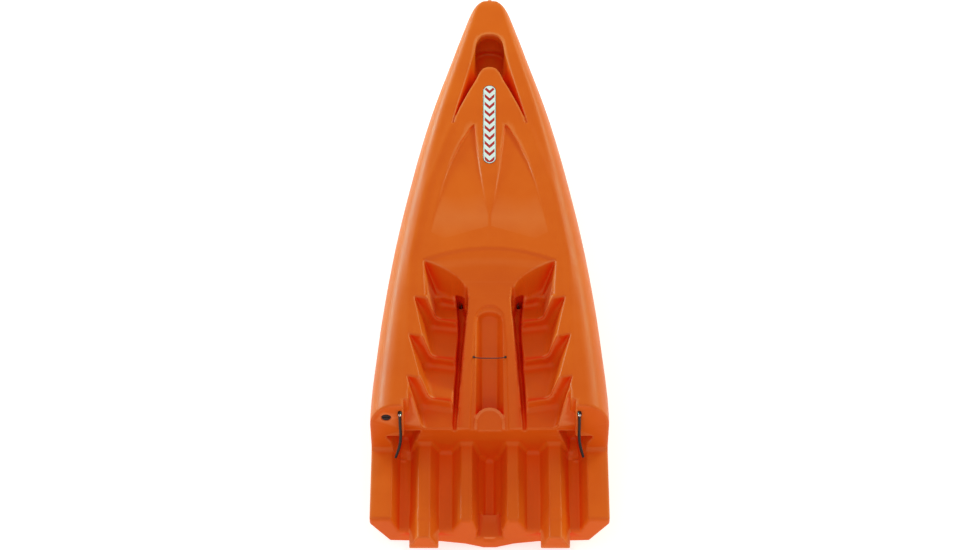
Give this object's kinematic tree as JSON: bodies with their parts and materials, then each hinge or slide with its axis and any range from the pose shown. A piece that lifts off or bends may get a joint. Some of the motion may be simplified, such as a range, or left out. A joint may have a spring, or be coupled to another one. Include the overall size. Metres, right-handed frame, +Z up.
{
  "type": "kayak bow section",
  "caption": "Bow section of a modular sit-on-top kayak: hollow moulded hull with stepped footwells, bottle trough, bow grab pocket, ribbed coupling tongue, drain plug and coupling cords.",
  "frame": {"origin": "middle of the section's length on the centreline, at the height of the keel", "axes": "+Y to the bow, +X to starboard, +Z up"},
  "size_m": [0.7604, 1.997, 0.3912],
  "materials": {
    "hull": "satin rotomoulded polyethylene",
    "decal": "printed film",
    "black_nylon": "moulded nylon",
    "rubber": "nitrile rubber",
    "black_rubber": "moulded rubber",
    "black_cord": "rubber-coated cord",
    "bungee": "braided elastic cord",
    "brass": "turned",
    "steel": "stainless"
  },
  "bodies": {
    "hull": {"hull_shell": "hull", "bow_decal": "decal", "drain_insert": "black_nylon", "anchor_insert_left": "brass", "anchor_insert_right": "brass", "anchor_washer_left": "steel", "anchor_washer_right": "steel", "anchor_bolt_left": "steel", "anchor_bolt_right": "steel", "bungee_stud_left": "black_nylon", "bungee_stud_right": "black_nylon", "bottle_bungee": "bungee"},
    "drain_gasket": {"drain_gasket": "rubber"},
    "drain_plug": {"drain_plug": "black_nylon"},
    "cord_left": {"cord_eye_left": "black_rubber", "coupling_cord_left": "black_cord"},
    "cord_right": {"cord_eye_right": "black_rubber", "coupling_cord_right": "black_cord"}
  },
  "joints": [
    {"name": "drain_plug_travel", "type": "slide", "parent": "hull", "child": "drain_gasket", "axis": [0, -0.9879, 0.1552], "range_m": [0, 0.016]},
    {"name": "drain_plug_turn", "type": "hinge", "parent": "drain_gasket", "child": "drain_plug", "pos_m": [-0.328, -0.64327, 0.291], "axis": [0, -0.9879, 0.1552], "range_deg": [0, 1440]},
    {"name": "cord_swing_left", "type": "hinge", "parent": "hull", "child": "cord_left", "pos_m": [-0.284, -0.63903, 0.318], "axis": [0, -0.9879, 0.1552], "range_deg": [-25, 25]},
    {"name": "cord_swing_right", "type": "hinge", "parent": "hull", "child": "cord_right", "pos_m": [0.284, -0.63903, 0.318], "axis": [0, -0.9879, 0.1552], "range_deg": [-25, 25]}
  ],
  "couplings": [
    {"joint": "drain_plug_travel", "follows": "drain_plug_turn", "m_per_rad": 0.00063662}
  ]
}
